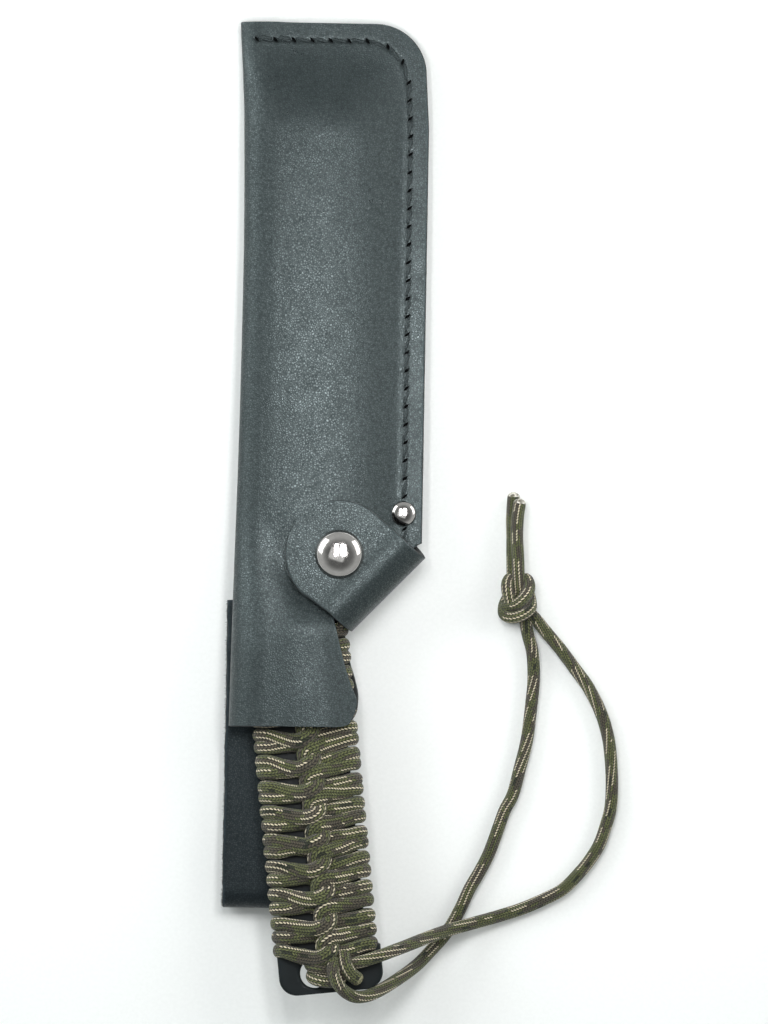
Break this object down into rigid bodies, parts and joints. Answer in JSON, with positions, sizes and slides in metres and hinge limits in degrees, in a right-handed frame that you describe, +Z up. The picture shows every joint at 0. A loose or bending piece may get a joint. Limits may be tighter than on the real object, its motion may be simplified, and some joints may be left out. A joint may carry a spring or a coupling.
{
  "type": "hori hori knife",
  "caption": "Full-tang digging knife with a cord-wrapped handle and wrist lanyard, in a folded leather sheath with a snap strap and belt loop.",
  "frame": {"origin": "middle of the bottom of the sheath and knife, without the wrist lanyard, on the surface they lie on", "axes": "+Z up from the surface, +Y towards the tip of the sheath, +X across it towards the stitched seam"},
  "size_m": [0.1251, 0.3121, 0.0272],
  "materials": {
    "coated_steel": "matte blue-black coating",
    "paracord": "braided nylon cord in olive, brown and tan",
    "leather": "black grained leather, semi-matte",
    "leather_edge": "cut edge of black leather",
    "thread": "black waxed thread",
    "nickel": "polished dark nickel"
  },
  "bodies": {
    "sheath": {"sheath_body": "leather", "sheath_welt": "leather_edge", "seam_stitching": "thread", "seam_stitching_end": "thread", "seam_rivet_cap": "nickel", "seam_rivet_post": "nickel", "belt_loop": "leather", "loop_rivet_cap_left": "nickel", "loop_rivet_cap_right": "nickel", "loop_rivet_post_left": "nickel", "loop_rivet_post_right": "nickel", "snap_stud": "nickel", "snap_post": "nickel", "strap_bend": "leather"},
    "knife": {"blade_and_tang": "coated_steel", "handle_wrap": "paracord", "wrap_cord_end": "paracord", "lanyard_hitch": "paracord", "lanyard_strand_upper": "paracord", "lanyard_strand_lower": "paracord", "lanyard_knot": "paracord", "lanyard_tail_left": "paracord", "lanyard_tail_right": "paracord"},
    "strap": {"strap_flap": "leather", "snap_cap": "nickel", "snap_socket": "nickel"}
  },
  "joints": [
    {"name": "knife_draw", "type": "slide", "parent": "sheath", "child": "knife", "axis": [0, -0.9993, 0.0379], "range_m": [0, 0.21]},
    {"name": "strap_open", "type": "hinge", "parent": "sheath", "child": "strap", "pos_m": [0.02084, -0.02808, 0.0159], "axis": [0.6963, 0.7173, -0.027], "range_deg": [0, 150], "deforming": ["strap_bend"]}
  ]
}
